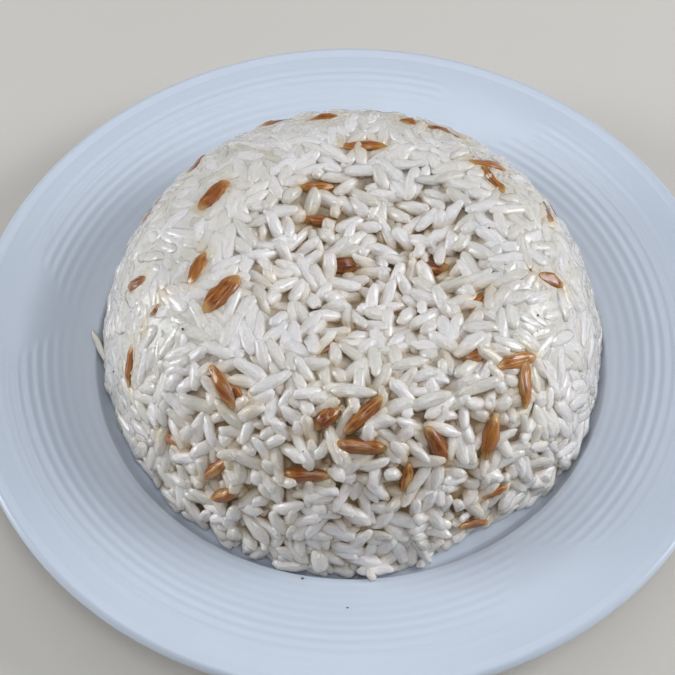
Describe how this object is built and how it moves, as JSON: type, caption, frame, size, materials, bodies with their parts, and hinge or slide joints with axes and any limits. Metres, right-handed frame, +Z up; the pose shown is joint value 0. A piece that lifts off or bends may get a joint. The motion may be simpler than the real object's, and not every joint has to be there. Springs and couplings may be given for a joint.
{
  "type": "plate of rice pilaf",
  "caption": "Dome of cooked white rice with toasted orzo pasta, turned out of a bowl onto a round white plate whose wide rim has fine concentric ridges.",
  "frame": {"origin": "middle of the plate's foot, on the table", "axes": "+Z up, +Y away from the diner, +X to the diner's right"},
  "size_m": [0.19, 0.19, 0.0511],
  "materials": {
    "white_porcelain": "gloss",
    "cooked_rice": "satin",
    "toasted_orzo": "satin"
  },
  "bodies": {
    "root": {"plate": "white_porcelain", "rice_pilaf": "cooked_rice"}
  },
  "joints": []
}
